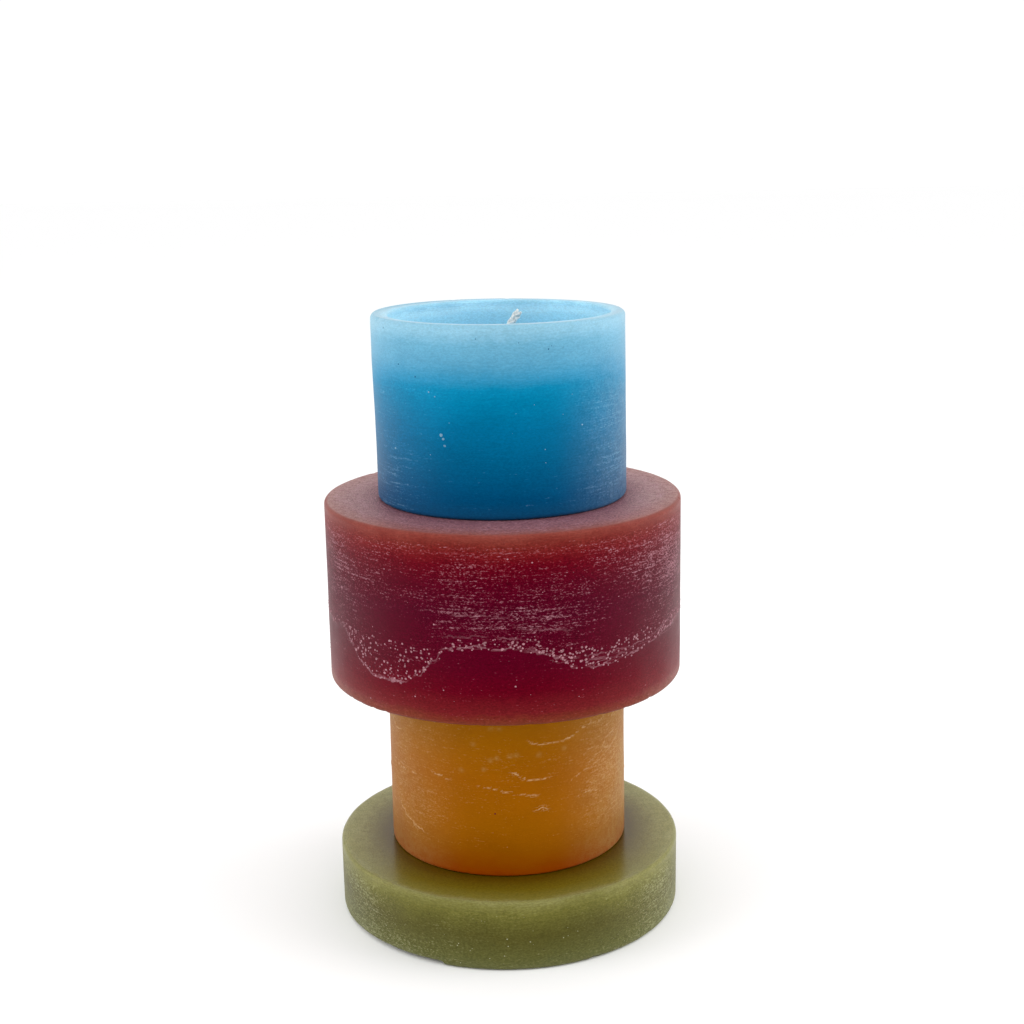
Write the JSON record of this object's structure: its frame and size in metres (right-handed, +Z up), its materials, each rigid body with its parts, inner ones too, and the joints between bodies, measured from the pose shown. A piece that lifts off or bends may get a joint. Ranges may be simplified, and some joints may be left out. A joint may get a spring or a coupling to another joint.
{
  "type": "stacked block candle",
  "caption": "Tower of loose round candle blocks stacked on one axis: a flat disc, a pillar, a wider drum and a hollow-topped cup, each with its own wick and wick tab.",
  "frame": {"origin": "centre of the bottom face of the lowest block, which rests on the table", "axes": "+Z up along the stack's common axis; +X to the right as seen from the front, the way the top wick leans; +Y away from the viewer"},
  "size_m": [0.1, 0.1, 0.172],
  "materials": {
    "wax_green": "cast candle wax, satin, frosted in fine level streaks",
    "wax_amber": "cast candle wax, satin, frosted in fine level streaks",
    "wax_burgundy": "cast candle wax, satin, frosted in fine level streaks",
    "wax_blue": "cast candle wax, satin, frosted in fine level streaks",
    "wick_cotton": "braided cotton stiffened with wax",
    "tab_steel": "tinned sheet steel"
  },
  "bodies": {
    "disc": {"disc_wax": "wax_green", "disc_wick": "wick_cotton", "disc_wick_tab": "tab_steel"},
    "pillar": {"pillar_wax": "wax_amber", "pillar_wick": "wick_cotton", "pillar_wick_tab": "tab_steel"},
    "drum": {"drum_wax": "wax_burgundy", "drum_wick": "wick_cotton", "drum_wick_tab": "tab_steel"},
    "cup": {"cup_wax": "wax_blue", "cup_wick": "wick_cotton", "cup_wick_tab": "tab_steel"}
  },
  "joints": [
    {"name": "pillar_lift", "type": "slide", "parent": "disc", "child": "pillar", "axis": [0, 0, 1], "range_m": [0, 0.06]},
    {"name": "drum_lift", "type": "slide", "parent": "pillar", "child": "drum", "axis": [0, 0, 1], "range_m": [0, 0.06]},
    {"name": "cup_lift", "type": "slide", "parent": "drum", "child": "cup", "axis": [0, 0, 1], "range_m": [0, 0.06]}
  ]
}
